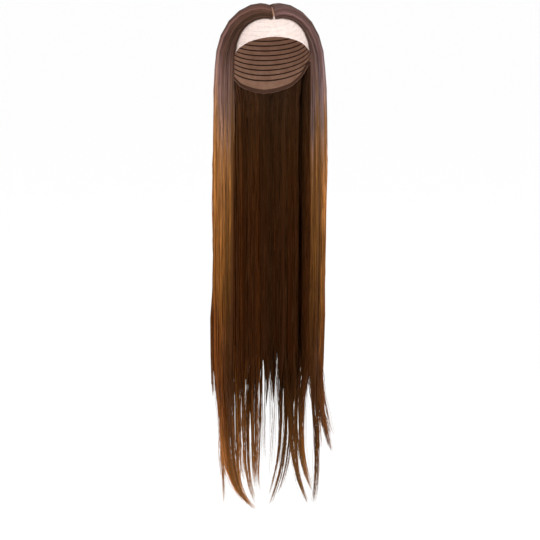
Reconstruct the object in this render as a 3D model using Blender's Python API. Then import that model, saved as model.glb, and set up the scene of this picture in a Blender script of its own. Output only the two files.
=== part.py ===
"""Lace front wig with a centre part and long straight hair, held up as a head holds it.

Metres, +Z up, the face looks along -Y. The origin is the inside of the crown, where the
cap sits on the top of a head. The wig is a thin cap whose front half is a sheer lace panel,
and hair that falls from the part on each side in a front and a back curtain, each of which
ends in locks, with a shorter layer that starts on the nape and hangs inside them.
"""

import math

import bpy
import bmesh
from mathutils import Vector

# The head that the cap is shaped to, measured on the inside of the cap.
HEAD_HALF_WIDTH = 0.078
HEAD_HALF_DEPTH = 0.097
CROWN_HEIGHT = 0.100  # from the widest level of the head up to the crown
NAPE_HEIGHT = 0.150  # how far below that level the head would close in
HEAD_SQUARENESS = 2.5  # 2 is an ellipsoid, more is boxier

# The cap.
CAP_WALL = 0.0012
LACE_WALL = 0.0010
SEAM_GAP = 0.0006  # between the lace panel and the net of the cap
LACE_REACH = 0.045  # how far behind the crown the lace panel ends, on the part
CAP_COLUMNS = 30
CAP_ROWS = 9

# The hair.
HAIRLINE_Y = -0.070  # the front end of the part
PART_HALF_WIDTH = 0.0020
CENTRE_GAP = 0.0006  # between the left and the right hair behind the part
HAIR_SEAT = 0.0012  # between the cap and the hair that lies on it
HAIR_DEPTH = 0.025  # from the inside of the hair to its outside where it leaves the head
NAPE_DEPTH = 0.011
NAPE_ROOM = 0.0075  # how far the back hair stands off to leave the nape hair its place
NAPE_GAP = 0.0010
EAR_GAP = 0.0010  # between the front hair and the back hair
FRONT_SWING = 0.010  # how far the front edge falls forward of the temple
HAIR_DROP = 0.955  # from the crown to the lowest tip
SPLIT_DROP = 0.720  # from the crown to where the curtain parts into locks

# Angles round the head, from the front, as parameters of its outline.
FRONT_ANGLE = 60.0
EAR_ANGLE = 112.0
NAPE_ANGLE = 128.0
BACK_ANGLE = 180.0

# The edge of the cap. turn is the angle round the seam's axis, 0 at the front and 180 at the
# back, and reach the angle from that axis, whose upper end is where the seam crosses the part.
CAP_EDGE = [
    # turn, reach
    (0.0, 87.0),
    (15.0, 87.5),
    (30.0, 88.0),
    (45.0, 90.0),
    (58.0, 94.0),
    (70.0, 98.0),
    (80.0, 100.0),
    (90.0, 99.0),
    (100.0, 92.0),
    (112.0, 88.0),
    (130.0, 94.0),
    (150.0, 99.0),
    (180.0, 101.0),
]

# Thickness of the hair as shares of its full depth, on the way over the head and below it.
HEAD_PROFILE = [
    # share of the way from the part to the ear, share of the depth
    (0.00, 0.04),
    (0.06, 0.09),
    (0.14, 0.15),
    (0.26, 0.21),
    (0.40, 0.30),
    (0.54, 0.42),
    (0.68, 0.57),
    (0.82, 0.71),
    (1.00, 0.84),
]
HANG_PROFILE = [
    # share of the way from the ear to the split, share of the depth
    (0.05, 0.91),
    (0.12, 0.98),
    (0.25, 1.00),
    (0.50, 0.97),
    (0.75, 0.93),
    (1.00, 0.88),
]
TIP_PROFILE = [
    # share of the way from the split to the tip, share of the width, share of the thickness
    (0.00, 1.00, 1.00),
    (0.20, 0.92, 0.92),
    (0.40, 0.78, 0.80),
    (0.58, 0.60, 0.66),
    (0.75, 0.40, 0.48),
    (0.89, 0.21, 0.28),
    (1.00, 0.05, 0.10),
]

# How the curtain leans from side to side on its way down, as shares of the head's half width.
LEAN = [
    # share of the drop, lean of the left side, lean of the right side
    (0.26, 0.00, 0.00),
    (0.50, -0.05, 0.00),
    (0.64, -0.08, -0.02),
    (0.73, -0.08, -0.02),
    (0.80, -0.05, 0.04),
    (0.88, 0.00, 0.05),
    (1.00, 0.00, 0.00),
]

# The locks. share is the lock's part of its section's width, end its length as a share of the
# hair's drop, across and ahead its tip's drift to the right and to the front as shares of the
# head's half width, late the power that holds the drift back towards the tip, and split the
# height of the notch after the lock as a share of the split's drop.
FRONT_LEFT_LOCKS = [
    # share, end, across, ahead, late, split
    (0.19, 0.985, 0.57, 0.00, 2.2, 1.00),
    (0.35, 0.992, 0.62, 0.00, 3.6, 0.98),
    (0.22, 0.985, 0.06, 0.03, 1.6, 1.04),
    (0.24, 0.930, 0.10, 0.02, 2.0, 1.02),
]
FRONT_RIGHT_LOCKS = [
    # share, end, across, ahead, late, split
    (0.15, 0.965, -0.06, 0.00, 3.0, 1.02),
    (0.33, 0.880, 0.31, 0.03, 1.4, 0.94),
    (0.28, 0.845, 0.33, 0.00, 1.4, 0.99),
    (0.24, 0.890, 0.10, 0.00, 2.0, 0.96),
]
BACK_LEFT_LOCKS = [
    # share, end, across, ahead, late, split
    (0.25, 0.960, 0.40, 0.06, 2.4, 1.03),
    (0.25, 0.985, 0.36, 0.00, 2.2, 1.04),
    (0.26, 1.015, 0.30, -0.02, 2.6, 1.00),
    (0.24, 0.955, -0.06, 0.02, 2.0, 0.97),
]
BACK_RIGHT_LOCKS = [
    # share, end, across, ahead, late, split
    (0.33, 0.965, 0.02, 0.00, 3.0, 0.95),
    (0.245, 1.005, 0.28, -0.02, 2.2, 0.93),
    (0.235, 1.020, -0.28, -0.03, 3.6, 0.71),
    (0.19, 0.975, 0.00, 0.00, 2.0, 0.97),
]
NAPE_LOCKS = [
    # share, end, across, ahead, late, split
    (0.235, 0.880, 0.14, 0.08, 2.0, 1.04),
    (0.180, 0.930, 0.12, 0.04, 2.2, 1.00),
    (0.220, 0.900, 0.00, 0.02, 2.0, 0.71),
    (0.178, 0.935, 0.03, 0.04, 2.0, 0.93),
    (0.187, 0.870, 0.08, 0.08, 2.0, 1.00),
]

OUTER_COLUMNS = (-1.0, -0.5, 0.0, 0.5, 1.0)  # across a lock, from edge to edge
INNER_COLUMNS = (-1.0, 0.0, 1.0)
HEAD_ROWS = 13
PATH_STEPS = 120
SWING_DROP = 0.150  # over what drop the front edge falls forward
EDGE_THIN = 0.35  # the hair's thickness at the hairline as a share of that behind it
FACE_THIN = 0.62  # the same where the front edge hangs beside the face


def smooth(value):
    """An eased step from 0 to 1."""
    value = min(1.0, max(0.0, value))
    return value * value * (3.0 - 2.0 * value)


def read_table(table, place, column=1):
    """The value of a table's column at a place in its first column."""
    if place <= table[0][0]:
        return table[0][column]
    for before, after in zip(table, table[1:]):
        if place <= after[0]:
            share = (place - before[0]) / (after[0] - before[0])
            return before[column] + share * (after[column] - before[column])
    return table[-1][column]


def head_surface(direction, offset=0.0):
    """The point of the head's surface in a direction from its middle, moved out by an offset."""
    x, y, z = direction
    height = CROWN_HEIGHT if z > 0.0 else NAPE_HEIGHT
    plan = (x / HEAD_HALF_WIDTH) ** 2 + (y / HEAD_HALF_DEPTH) ** 2
    level = plan ** (HEAD_SQUARENESS / 2) + (abs(z) / height) ** HEAD_SQUARENESS
    point = Vector(direction) * level ** (-1.0 / HEAD_SQUARENESS)
    slope = max(plan, 1e-12) ** (HEAD_SQUARENESS / 2 - 1)
    normal = Vector((
        slope * x / HEAD_HALF_WIDTH**2,
        slope * y / HEAD_HALF_DEPTH**2,
        math.copysign(abs(z) ** (HEAD_SQUARENESS - 1), z) / height**HEAD_SQUARENESS,
    ))
    return point + Vector((0.0, 0.0, -CROWN_HEIGHT)) + normal.normalized() * offset


def over_head(x, y):
    """The direction from the head's middle to its surface above a point of the plan."""
    plan = math.hypot(x / HEAD_HALF_WIDTH, y / HEAD_HALF_DEPTH)
    rise = max(0.0, 1.0 - min(1.0, plan) ** HEAD_SQUARENESS) ** (1.0 / HEAD_SQUARENESS)
    return Vector((x, y, CROWN_HEIGHT * rise))


def head_outline(angle):
    """A point of the head's widest outline and its outward normal, both level."""
    turn = math.radians(angle)
    x = HEAD_HALF_WIDTH * math.sin(turn)
    y = -HEAD_HALF_DEPTH * math.cos(turn)
    normal = Vector((x / HEAD_HALF_WIDTH**2, y / HEAD_HALF_DEPTH**2, 0.0)).normalized()
    return Vector((x, y, -CROWN_HEIGHT)), normal


def seam_axes():
    """The axis that the cap's edge is read round: up through the seam, and forward."""
    up = over_head(0.0, LACE_REACH).normalized()
    side = Vector((1.0, 0.0, 0.0))
    return up, up.cross(side) * -1.0, side


def cap_direction(turn, reach, half):
    """A direction on the cap. half is +1 for the net and -1 for the lace, which part at the seam."""
    up, ahead, side = seam_axes()
    angle = math.radians(turn)
    away = ahead * math.cos(angle) + side * math.sin(angle)
    direction = up * math.cos(math.radians(reach)) + away * math.sin(math.radians(reach))
    shift = half * SEAM_GAP / (2.0 * HEAD_HALF_WIDTH)
    return direction - ahead * shift


def make_object(name, mesh_data, material):
    """A new object from a bmesh, in its own material."""
    mesh = bpy.data.meshes.new(name)
    bmesh.ops.recalc_face_normals(mesh_data, faces=mesh_data.faces)
    mesh_data.to_mesh(mesh)
    mesh_data.free()
    mesh.materials.append(material)
    mesh.shade_smooth()
    made = bpy.data.objects.new(name, mesh)
    bpy.context.scene.collection.objects.link(made)
    return made


def make_material(name, colour, roughness):
    """A plain material with a linear colour."""
    material = bpy.data.materials.new(name)
    material.use_nodes = True
    shader = material.node_tree.nodes["Principled BSDF"]
    shader.inputs["Base Color"].default_value = (*colour, 1.0)
    shader.inputs["Roughness"].default_value = roughness
    shader.inputs["Metallic"].default_value = 0.0
    material.diffuse_color = (*colour, 1.0)
    return material


def make_cap_half(name, half, wall, material):
    """The lace panel or the net of the cap: a grid from the seam's crossing out to the edge."""
    first = -90.0 if half < 0 else 90.0
    grid = bmesh.new()
    layers = []
    for offset in (0.0, wall):
        rows = [[grid.verts.new(head_surface(cap_direction(0.0, 0.0, half), offset))]]
        for row in range(1, CAP_ROWS + 1):
            ring = []
            for column in range(CAP_COLUMNS + 1):
                turn = first + 180.0 * column / CAP_COLUMNS
                edge = read_table(CAP_EDGE, abs((turn + 180.0) % 360.0 - 180.0))
                direction = cap_direction(turn, edge * row / CAP_ROWS, half)
                ring.append(grid.verts.new(head_surface(direction, offset)))
            rows.append(ring)
        layers.append(rows)
    for rows in layers:
        for left, right in zip(rows[1], rows[1][1:]):
            grid.faces.new((rows[0][0], left, right))
        for upper, lower in zip(rows[1:], rows[2:]):
            for column in range(CAP_COLUMNS):
                grid.faces.new((upper[column], lower[column], lower[column + 1], upper[column + 1]))
    for inner, outer in zip(*(rim_of(rows) for rows in layers)):
        grid.faces.new((inner[0], inner[1], outer[1], outer[0]))
    return make_object(name, grid, material)


def rim_of(rows):
    """The edges round a cap half's grid, in order: one seam, the free edge, the other seam."""
    loop = [row[0] for row in rows] + rows[-1][1:] + [row[-1] for row in reversed(rows[1:-1])]
    return list(zip(loop, loop[1:] + loop[:1]))


class Section:
    """Hair that falls as one curtain: where each of its strands runs before it splits."""

    def __init__(self, side, first_angle, last_angle, locks):
        self.side = side
        self.first_angle = first_angle
        self.last_angle = last_angle
        self.locks = locks

    def angle(self, across):
        """The angle round the head of a share of the section's width."""
        return self.first_angle + across * (self.last_angle - self.first_angle)

    def room(self, angle, share):
        """How far the hair stands off behind the ears, to leave the nape hair its place."""
        behind = smooth((angle - EAR_ANGLE) / (NAPE_ANGLE - EAR_ANGLE) + 0.25)
        return NAPE_ROOM * behind * smooth((share - 0.75) / 0.25)

    def thickness(self, across, share, profile):
        """The hair's thickness, which thins to the hairline and to the face."""
        angle = self.angle(across)
        edge = EDGE_THIN + (FACE_THIN - EDGE_THIN) * smooth((share - 0.5) / 0.5)
        inward = smooth((angle - FRONT_ANGLE) / (0.4 * (EAR_ANGLE - FRONT_ANGLE)))
        full = HAIR_DEPTH * profile * (edge + (1.0 - edge) * inward)
        return full - self.room(angle, share)

    def on_head(self, across, share):
        """The inner guide and its normal at a share of the way from the part to the ear."""
        angle = self.angle(across)
        fan = (angle - FRONT_ANGLE) / (BACK_ANGLE - FRONT_ANGLE)
        aside = PART_HALF_WIDTH + fan * fan * (CENTRE_GAP / 2.0 - PART_HALF_WIDTH)
        start = Vector((aside, HAIRLINE_Y + fan * (LACE_REACH - HAIRLINE_Y), 0.0))
        end = head_outline(angle)[0]
        walk = [start.lerp(end, 1.0 - (1.0 - step / PATH_STEPS) ** 2.5) for step in range(PATH_STEPS)]
        walk = [over_head(point.x, point.y) for point in walk] + [Vector((end.x, end.y, 0.0))]
        lengths = [0.0]
        for before, after in zip(walk, walk[1:]):
            lengths.append(lengths[-1] + (after - before).length)
        place = share * lengths[-1]
        step = next(i for i in range(1, len(lengths)) if lengths[i] >= place - 1e-12)
        part = (place - lengths[step - 1]) / (lengths[step] - lengths[step - 1])
        direction = walk[step - 1].lerp(walk[step], part)
        near = head_surface(direction, CAP_WALL + HAIR_SEAT + self.room(angle, share))
        return near, (head_surface(direction, 1.0) - head_surface(direction)).normalized()

    def hanging(self, across, height):
        """The inner guide and its normal at a height below the ears."""
        angle = self.angle(across)
        point, normal = head_outline(angle)
        point = point + normal * (CAP_WALL + HAIR_SEAT + self.room(angle, 1.0))
        edge = smooth(1.0 - (angle - FRONT_ANGLE) / (EAR_ANGLE - FRONT_ANGLE) * 1.4)
        fallen = smooth((-CROWN_HEIGHT - height) / SWING_DROP)
        point.y -= FRONT_SWING * edge * fallen
        point.z = height
        return point, normal

    def head_row(self, across, share, outward, bulge):
        """A point of the hair on the head. outward is 0 on the cap and 1 outside."""
        near, normal = self.on_head(across, share)
        thick = self.thickness(across, share, read_table(HEAD_PROFILE, share))
        groove = 0.20 * share * bulge
        return near + normal * thick * outward * (1.0 - groove)

    def layer(self, across, profile, outward, groove, lift):
        """How far out a point of the hanging hair lies from the inner guide."""
        thick = self.thickness(across, 1.0, profile)
        return thick * (outward * (1.0 - groove) + (1.0 - outward) * lift)

    def hang_row(self, across, share, notch, outward, bulge):
        """A point of the hair between the ears and the split."""
        height = -CROWN_HEIGHT + share * (notch + CROWN_HEIGHT)
        near, normal = self.hanging(across, height)
        profile = read_table(HANG_PROFILE, share)
        groove = (0.20 + 0.16 * share) * bulge
        return near + normal * self.layer(across, profile, outward, groove, 0.14 * share * bulge)

    def tip_row(self, lock, place, share, outward, bulge):
        """A point of a lock below the split. place is across the lock, from -1 to 1."""
        width = read_table(TIP_PROFILE, share, 1)
        thin = read_table(TIP_PROFILE, share, 2)
        notch = lock.notch(place)
        across = lock.middle + place * lock.half * width
        near, normal = self.hanging(across, notch + share * (lock.end - notch))
        profile = HANG_PROFILE[-1][1]
        heart = self.layer(lock.middle, profile, 0.5, 0.0, 0.0)
        depth = self.layer(lock.middle, profile, outward, 0.36 * bulge, 0.14 * bulge)
        point = near + normal * (heart + (depth - heart) * thin)
        drift = share**lock.late * HEAD_HALF_WIDTH
        point.x += drift * lock.across * self.side
        point.y -= drift * lock.ahead
        return point


class NapeSection(Section):
    """The inner layer: it starts on the cap over the nape and hangs inside the back hair."""

    def head_start(self):
        """The height where the nape hair starts on the cap."""
        return -CROWN_HEIGHT - 0.16 * NAPE_HEIGHT

    def cap_height(self):
        """The height where it leaves the cap and hangs free."""
        return -CROWN_HEIGHT - 0.50 * NAPE_HEIGHT

    def on_head(self, across, share):
        angle = self.angle(across)
        outline = head_outline(angle)[0]
        height = self.head_start() + share * (self.cap_height() - self.head_start())
        drop = height + CROWN_HEIGHT
        closing = (1.0 - (-drop / NAPE_HEIGHT) ** HEAD_SQUARENESS) ** (1.0 / HEAD_SQUARENESS)
        direction = Vector((outline.x * closing, outline.y * closing, drop))
        near = head_surface(direction, CAP_WALL + HAIR_SEAT)
        return near, head_outline(angle)[1]

    def hanging(self, across, height):
        near, normal = self.on_head(across, 1.0)
        return Vector((near.x, near.y, height)), normal

    def head_row(self, across, share, outward, bulge):
        near, normal = self.on_head(across, share)
        room = (NAPE_ROOM - NAPE_GAP) * (0.45 + 0.45 * share)
        return near + normal * room * outward * (1.0 - 0.2 * share * bulge)

    def layer(self, across, profile, outward, groove, lift):
        room = (NAPE_ROOM - NAPE_GAP) * 0.9
        edge = 0.75 + 0.25 * smooth(4.0 * min(across, 1.0 - across))
        thick = room + (NAPE_DEPTH * edge - room) * profile
        return room - thick + thick * (outward * (1.0 - groove) + (1.0 - outward) * lift)

    def hang_row(self, across, share, notch, outward, bulge):
        height = self.cap_height() + share * (notch - self.cap_height())
        near, normal = self.hanging(across, height)
        groove = (0.20 + 0.16 * share) * bulge
        full = smooth(share / 0.25)
        return near + normal * self.layer(across, full, outward, groove, 0.14 * share * bulge)


class Lock:
    """One lock's place in its section, the heights of its notches and tip, and its drift."""

    def __init__(self, before, share, row, total):
        self.half = row[0] / total / 2.0
        self.middle = share + self.half
        self.notches = (-SPLIT_DROP * before, -SPLIT_DROP * row[5])
        self.end = -HAIR_DROP * row[1]
        self.across = row[2]
        self.ahead = row[3]
        self.late = row[4]

    def notch(self, place):
        """The height of the split at a place across the lock, from -1 to 1."""
        return self.notches[0] + (place + 1.0) / 2.0 * (self.notches[1] - self.notches[0])


def lock_list(section):
    """The locks of a section, from its first angle to its last."""
    total = sum(row[0] for row in section.locks)
    locks = []
    done = 0.0
    before = section.locks[0][5]
    for row in section.locks:
        locks.append(Lock(before, done, row, total))
        done += 2.0 * locks[-1].half
        before = row[5]
    return locks


def lean(point):
    """A point of the hair moved aside as the curtain leans, more the farther out it hangs."""
    column = 1 if point.x < 0.0 else 2
    away = (point.x / (HEAD_HALF_WIDTH + HAIR_DEPTH)) ** 2
    point.x += read_table(LEAN, -point.z / HAIR_DROP, column) * HEAD_HALF_WIDTH * away
    return point


def make_hair(name, section, material):
    """A curtain of hair in one solid: locks that are joined down to the split and free below."""
    grid = bmesh.new()
    locks = lock_list(section)
    head_rows = [(row / HEAD_ROWS) ** 1.2 for row in range(HEAD_ROWS + 1)]
    hang_rows = [row[0] for row in HANG_PROFILE]
    tip_rows = [row[0] for row in TIP_PROFILE[1:]]
    joined = len(head_rows) + len(hang_rows)
    rows = joined + len(tip_rows)
    shared = {}

    def corner(index, place, row, outward):
        """The vertex of a lock's column in a row, shared with the next lock above the split."""
        lock = locks[index]
        edge = index if place < 0 else index + 1
        if abs(place) == 1.0 and row < joined:
            key = ("edge", edge, row, outward)
        else:
            key = (index, place, row, outward)
        if key not in shared:
            along = lock.middle + place * lock.half
            bulge = place * place
            if row < len(head_rows):
                point = section.head_row(along, head_rows[row], outward, bulge)
            elif row < joined:
                share = hang_rows[row - len(head_rows)]
                point = section.hang_row(along, share, lock.notch(place), outward, bulge)
            else:
                share = tip_rows[row - joined]
                point = section.tip_row(lock, place, share, outward, bulge)
            point.x *= section.side
            shared[key] = grid.verts.new(lean(point))
        return shared[key]

    for index in range(len(locks)):
        for outward, columns in ((1, OUTER_COLUMNS), (0, INNER_COLUMNS)):
            for row in range(rows - 1):
                for left, right in zip(columns, columns[1:]):
                    grid.faces.new((
                        corner(index, left, row, outward),
                        corner(index, left, row + 1, outward),
                        corner(index, right, row + 1, outward),
                        corner(index, right, row, outward),
                    ))
        for place, outermost in ((-1.0, index == 0), (1.0, index == len(locks) - 1)):
            for row in range(0 if outermost else joined - 1, rows - 1):
                grid.faces.new((
                    corner(index, place, row, 1),
                    corner(index, place, row + 1, 1),
                    corner(index, place, row + 1, 0),
                    corner(index, place, row, 0),
                ))
        for row in (0, rows - 1):
            outer = [corner(index, place, row, 1) for place in OUTER_COLUMNS]
            inner = [corner(index, place, row, 0) for place in INNER_COLUMNS]
            grid.faces.new(outer + inner[::-1])
    return make_object(name, grid, material)


def side_sections(side, front_locks, back_locks):
    """The front and the back hair of one side, apart at the ear and at the back centre."""
    ear_turn = math.degrees(EAR_GAP / 2.0 / HEAD_HALF_DEPTH)
    centre_turn = math.degrees(CENTRE_GAP / HEAD_HALF_WIDTH)
    front = Section(side, FRONT_ANGLE, EAR_ANGLE - ear_turn, front_locks)
    back = Section(side, EAR_ANGLE + ear_turn, BACK_ANGLE - centre_turn, back_locks)
    return front, back


def main():
    for old in list(bpy.data.objects):
        bpy.data.objects.remove(old)
    lace = make_material("sheer_lace", (0.80, 0.62, 0.53), 0.85)
    net = make_material("cap_net", (0.060, 0.036, 0.028), 0.90)
    front = make_material("front_hair", (0.155, 0.068, 0.026), 0.45)
    back = make_material("back_hair", (0.120, 0.050, 0.018), 0.45)

    make_cap_half("lace_front", -1, LACE_WALL, lace)
    make_cap_half("wig_cap", 1, CAP_WALL, net)
    left_front, left_back = side_sections(-1, FRONT_LEFT_LOCKS, BACK_LEFT_LOCKS)
    right_front, right_back = side_sections(1, FRONT_RIGHT_LOCKS, BACK_RIGHT_LOCKS)
    make_hair("front_hair_left", left_front, front)
    make_hair("front_hair_right", right_front, front)
    make_hair("back_hair_left", left_back, back)
    make_hair("back_hair_right", right_back, back)
    nape = NapeSection(1, 360.0 - NAPE_ANGLE, NAPE_ANGLE, NAPE_LOCKS)
    make_hair("nape_hair", nape, back)


main()
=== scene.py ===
import math

import bpy
import numpy as np
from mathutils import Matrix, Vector


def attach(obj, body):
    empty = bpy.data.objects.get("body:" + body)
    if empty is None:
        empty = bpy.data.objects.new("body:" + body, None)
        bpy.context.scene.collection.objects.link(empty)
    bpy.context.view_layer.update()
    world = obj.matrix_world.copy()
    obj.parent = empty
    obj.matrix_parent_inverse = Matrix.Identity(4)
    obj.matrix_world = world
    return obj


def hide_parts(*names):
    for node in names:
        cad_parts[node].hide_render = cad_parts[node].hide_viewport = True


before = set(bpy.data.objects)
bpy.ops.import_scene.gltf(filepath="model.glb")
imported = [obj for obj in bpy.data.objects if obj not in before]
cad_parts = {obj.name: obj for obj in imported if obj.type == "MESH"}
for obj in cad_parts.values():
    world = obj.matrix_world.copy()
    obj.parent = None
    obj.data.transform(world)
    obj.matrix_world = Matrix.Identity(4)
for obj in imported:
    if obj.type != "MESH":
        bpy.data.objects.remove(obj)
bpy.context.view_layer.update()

# Sizes, as in the solids
HALF_W, HALF_D = 0.078, 0.097
CROWN, NAPE, SQUARE = 0.100, 0.150, 2.5
CAP_WALL, LACE_WALL, SEAT = 0.0012, 0.0010, 0.0012
LACE_REACH, SEAM_GAP = 0.045, 0.0006
HAIRLINE_Y, PART_HALF, CENTRE_GAP = -0.070, 0.0020, 0.0006
DEPTH, NAPE_DEPTH, NAPE_ROOM, NAPE_GAP, EAR_GAP = 0.025, 0.011, 0.0075, 0.0010, 0.0010
SWING, SWING_DROP = 0.010, 0.150
DROP, SPLIT = 0.955, 0.720
FRONT_A, EAR_A, NAPE_A, BACK_A = 60.0, 112.0, 128.0, 180.0
EDGE_THIN, FACE_THIN = 0.35, 0.62
# where the nape's hair starts and where it leaves the cap, as shares of the way down the nape
NAPE_TOP, NAPE_HANGS = 0.16, 0.50

CAP_EDGE = np.array([
    # turn, reach
    (0.0, 87.0), (15.0, 87.5), (30.0, 88.0), (45.0, 90.0), (58.0, 94.0), (70.0, 98.0),
    (80.0, 100.0), (90.0, 99.0), (100.0, 92.0), (112.0, 88.0), (130.0, 94.0),
    (150.0, 99.0), (180.0, 101.0),
])
HEAD_PROFILE = np.array([
    # share of the way to the ear, share of the depth
    (0.00, 0.04), (0.06, 0.12), (0.14, 0.20), (0.26, 0.25), (0.40, 0.31), (0.54, 0.42),
    (0.68, 0.57), (0.82, 0.71), (1.00, 0.84),
])
HANG_PROFILE = np.array([
    # share of the way to the split, share of the depth
    (0.00, 0.84), (0.05, 0.91), (0.12, 0.98), (0.25, 1.00), (0.50, 0.97), (0.75, 0.93),
    (1.00, 0.88),
])
TIP_PROFILE = np.array([
    # share of the way to the tip, share of the width, share of the thickness
    (0.00, 1.00, 1.00), (0.20, 0.92, 0.92), (0.40, 0.78, 0.80), (0.58, 0.60, 0.66),
    (0.75, 0.40, 0.48), (0.89, 0.21, 0.28), (1.00, 0.05, 0.10),
])
LEAN = np.array([
    # share of the drop, lean of the left side, lean of the right side
    (0.26, 0.00, 0.00), (0.50, -0.05, 0.00), (0.64, -0.08, -0.02), (0.73, -0.08, -0.02),
    (0.80, -0.05, 0.04), (0.88, 0.00, 0.05), (1.00, 0.00, 0.00),
])
# The locks: share is the lock's part of its section's width, end the length of its longest strands
# as a share of the drop, across and ahead the drift of its end to the right and to the front as
# shares of the head's half width, late the power that holds the drift back, and split the height of
# the notch after the lock as a share of the split's drop.
LOCKS = {
    "front_hair_left": [
        # share, end, across, ahead, late, split
        (0.19, 0.990, 0.44, 0.00, 5.0, 1.00),
        (0.35, 1.005, 0.70, 0.00, 6.0, 0.98),
        (0.22, 1.000, 0.00, 0.03, 2.0, 1.04),
        (0.24, 0.955, 0.04, 0.02, 2.4, 1.02),
    ],
    "front_hair_right": [
        (0.15, 0.990, -0.06, 0.00, 3.0, 1.02),
        (0.33, 0.890, 0.25, 0.03, 1.5, 0.94),
        (0.28, 0.865, 0.28, 0.00, 1.5, 0.99),
        (0.24, 0.900, 0.14, 0.00, 1.8, 0.96),
    ],
    "back_hair_left": [
        (0.25, 1.020, 0.44, 0.06, 5.0, 1.03),
        (0.25, 1.035, 0.39, 0.00, 6.0, 1.04),
        (0.26, 1.040, 0.26, -0.02, 6.0, 1.00),
        (0.24, 1.015, 0.02, 0.02, 4.0, 0.97),
    ],
    "back_hair_right": [
        (0.33, 1.000, 0.14, 0.00, 8.0, 0.95),
        (0.245, 1.040, 0.34, -0.02, 6.0, 0.93),
        (0.235, 1.045, -0.30, -0.03, 7.0, 0.71),
        (0.19, 0.995, 0.03, 0.00, 2.0, 0.97),
    ],
    "nape_hair": [
        (0.235, 0.990, 0.20, 0.08, 6.0, 1.04),
        (0.180, 1.005, 0.13, 0.04, 5.0, 1.00),
        (0.220, 0.950, 0.01, 0.02, 2.0, 0.71),
        (0.178, 0.985, 0.06, 0.04, 2.0, 0.93),
        (0.187, 0.970, 0.05, 0.08, 3.0, 1.00),
    ],
}
# How each lock falls apart below the split: bow is its swing to the side on the way, loose how far
# its strands keep apart, core the share of them that reach the end, and cut the share of the drop
# by which the rest have stopped.
FALL = {
    "front_hair_left": [
        # bow, loose, core, cut
        (0.00, 0.60, 0.20, 0.780),
        (0.00, 0.40, 0.60, 0.860),
        (-0.02, 0.25, 0.16, 0.850),
        (-0.03, 0.30, 0.18, 0.850),
    ],
    "front_hair_right": [
        (0.04, 0.40, 0.44, 0.795),
        (0.00, 0.30, 0.26, 0.815),
        (0.00, 0.34, 0.30, 0.825),
        (0.00, 0.34, 0.16, 0.820),
    ],
    "back_hair_left": [
        (0.00, 0.65, 0.36, 0.800),
        (0.00, 0.70, 0.54, 0.810),
        (0.00, 0.70, 0.60, 0.820),
        (0.00, 0.65, 0.52, 0.820),
    ],
    "back_hair_right": [
        (-0.18, 0.55, 0.56, 0.800),
        (-0.09, 0.60, 0.95, 0.860),
        (0.12, 0.55, 0.92, 0.860),
        (0.10, 0.50, 0.07, 0.795),
    ],
    "nape_hair": [
        (0.00, 0.70, 0.28, 0.810),
        (0.00, 0.70, 0.36, 0.815),
        (0.00, 0.70, 0.08, 0.790),
        (0.00, 0.55, 0.20, 0.805),
        (0.00, 0.60, 0.34, 0.800),
    ],
}


def smooth(x):
    """An even step from 0 to 1."""
    x = np.clip(x, 0.0, 1.0)
    return x * x * (3.0 - 2.0 * x)


def table(rows, x, column=1):
    """The value at x of a column of a table."""
    return np.interp(x, rows[:, 0], rows[:, column])


def unit(v):
    return v / np.maximum(np.linalg.norm(v, axis=-1, keepdims=True), 1e-12)


def head_surface(d, offset=0.0):
    """Points of the head form in the directions d, and their outward normals."""
    height = np.where(d[..., 2] > 0, CROWN, NAPE)
    plan = (d[..., 0] / HALF_W) ** 2 + (d[..., 1] / HALF_D) ** 2
    level = plan ** (SQUARE / 2) + (np.abs(d[..., 2]) / height) ** SQUARE
    point = d * (level ** (-1.0 / SQUARE))[..., None]
    slope = np.maximum(plan, 1e-12) ** (SQUARE / 2 - 1)
    normal = unit(np.stack([
        slope * d[..., 0] / HALF_W**2,
        slope * d[..., 1] / HALF_D**2,
        np.sign(d[..., 2]) * np.abs(d[..., 2]) ** (SQUARE - 1) / height**SQUARE,
    ], -1))
    point = point + np.array([0, 0, -CROWN]) + normal * np.asarray(offset)[..., None]
    return point, normal


def over_head(x, y):
    """The direction from the head's middle to its surface above a point of the plan."""
    plan = np.minimum(1.0, np.hypot(x / HALF_W, y / HALF_D))
    rise = np.maximum(0.0, 1.0 - plan**SQUARE) ** (1.0 / SQUARE)
    return np.stack([x, y, CROWN * rise], -1)


def outline(angle):
    """The widest ring of the head and its outward normals, by angle from the front."""
    turn = np.radians(angle)
    x, y = HALF_W * np.sin(turn), -HALF_D * np.cos(turn)
    normal = unit(np.stack([x / HALF_W**2, y / HALF_D**2, np.zeros_like(x)], -1))
    return np.stack([x, y, np.full_like(x, -CROWN)], -1), normal


def lean(p):
    """Points moved aside as the curtains lean on their way down."""
    left = np.interp(-p[..., 2] / DROP, LEAN[:, 0], LEAN[:, 1])
    right = np.interp(-p[..., 2] / DROP, LEAN[:, 0], LEAN[:, 2])
    away = (p[..., 0] / (HALF_W + DEPTH)) ** 2
    p = p.copy()
    p[..., 0] += np.where(p[..., 0] < 0, left, right) * HALF_W * away
    return p


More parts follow.
